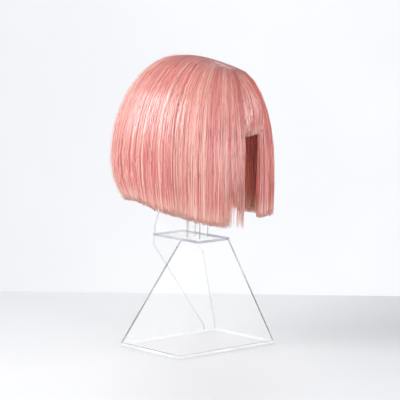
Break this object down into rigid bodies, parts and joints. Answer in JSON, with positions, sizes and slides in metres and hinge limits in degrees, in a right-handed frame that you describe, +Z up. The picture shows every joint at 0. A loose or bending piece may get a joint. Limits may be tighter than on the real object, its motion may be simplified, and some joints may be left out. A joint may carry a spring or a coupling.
{
  "type": "bob wig on clear display stand",
  "caption": "Straight blunt pink bob wig with a fringe, open at the face and neck, held up by a square post on a leaning-sheet clear acrylic display stand.",
  "frame": {"origin": "middle of the base plate's underside, on the axis of the post", "axes": "+Z up, -Y the wearer's front, +X the wearer's left"},
  "size_m": [0.2468, 0.2514, 0.467],
  "materials": {
    "hair": "pink synthetic hair, satin sheen along the strands",
    "cap": "matt net and weft",
    "clear_acrylic": "clear polished acrylic sheet"
  },
  "bodies": {
    "root": {"cap": "cap", "right_hair": "hair", "left_hair": "hair", "fringe": "hair", "base_plate": "clear_acrylic", "top_plate": "clear_acrylic", "front_left_panel": "clear_acrylic", "front_right_panel": "clear_acrylic", "back_fin": "clear_acrylic", "upper_fin": "clear_acrylic", "post": "clear_acrylic"}
  },
  "joints": []
}
